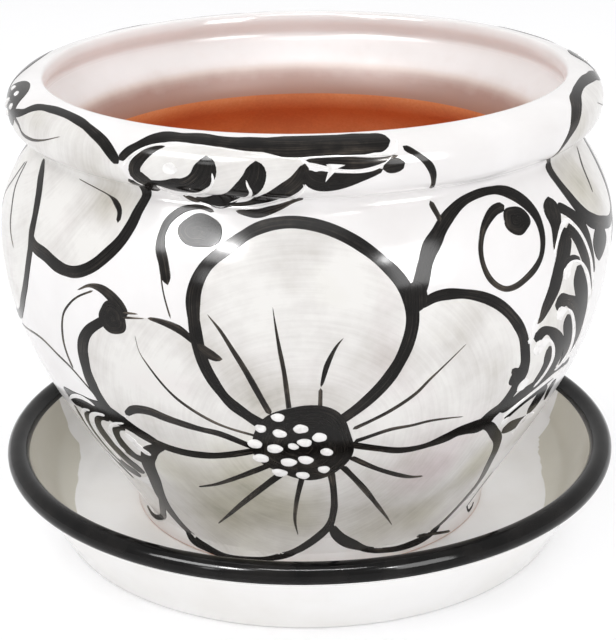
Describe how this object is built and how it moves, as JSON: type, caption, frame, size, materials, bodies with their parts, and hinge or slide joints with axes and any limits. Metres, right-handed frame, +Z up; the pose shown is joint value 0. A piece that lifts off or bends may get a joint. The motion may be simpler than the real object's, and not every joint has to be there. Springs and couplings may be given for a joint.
{
  "type": "flower pot with saucer",
  "caption": "Round-bellied glazed earthenware flower pot with a rolled collar, bare terracotta inside and a drain hole, standing in a separate drip saucer with a rounded rim.",
  "frame": {"origin": "centre of the saucer's underside, on the surface that it stands on", "axes": "+Z up along the turned axis of the pot and the saucer; -Y is the painted front that the picture shows"},
  "size_m": [0.249, 0.249, 0.1886],
  "materials": {
    "majolica_glaze": "glossy tin-white glaze with brushed grey petals and black outlines",
    "saucer_glaze": "glossy white glaze with a black glazed rim",
    "bare_terracotta": "matt unglazed earthenware"
  },
  "bodies": {
    "saucer": {"saucer": "saucer_glaze"},
    "pot": {"pot": "majolica_glaze"}
  },
  "joints": [
    {"name": "pot_lift", "type": "slide", "parent": "saucer", "child": "pot", "axis": [0, 0, 1], "range_m": [0, 0.06]}
  ]
}
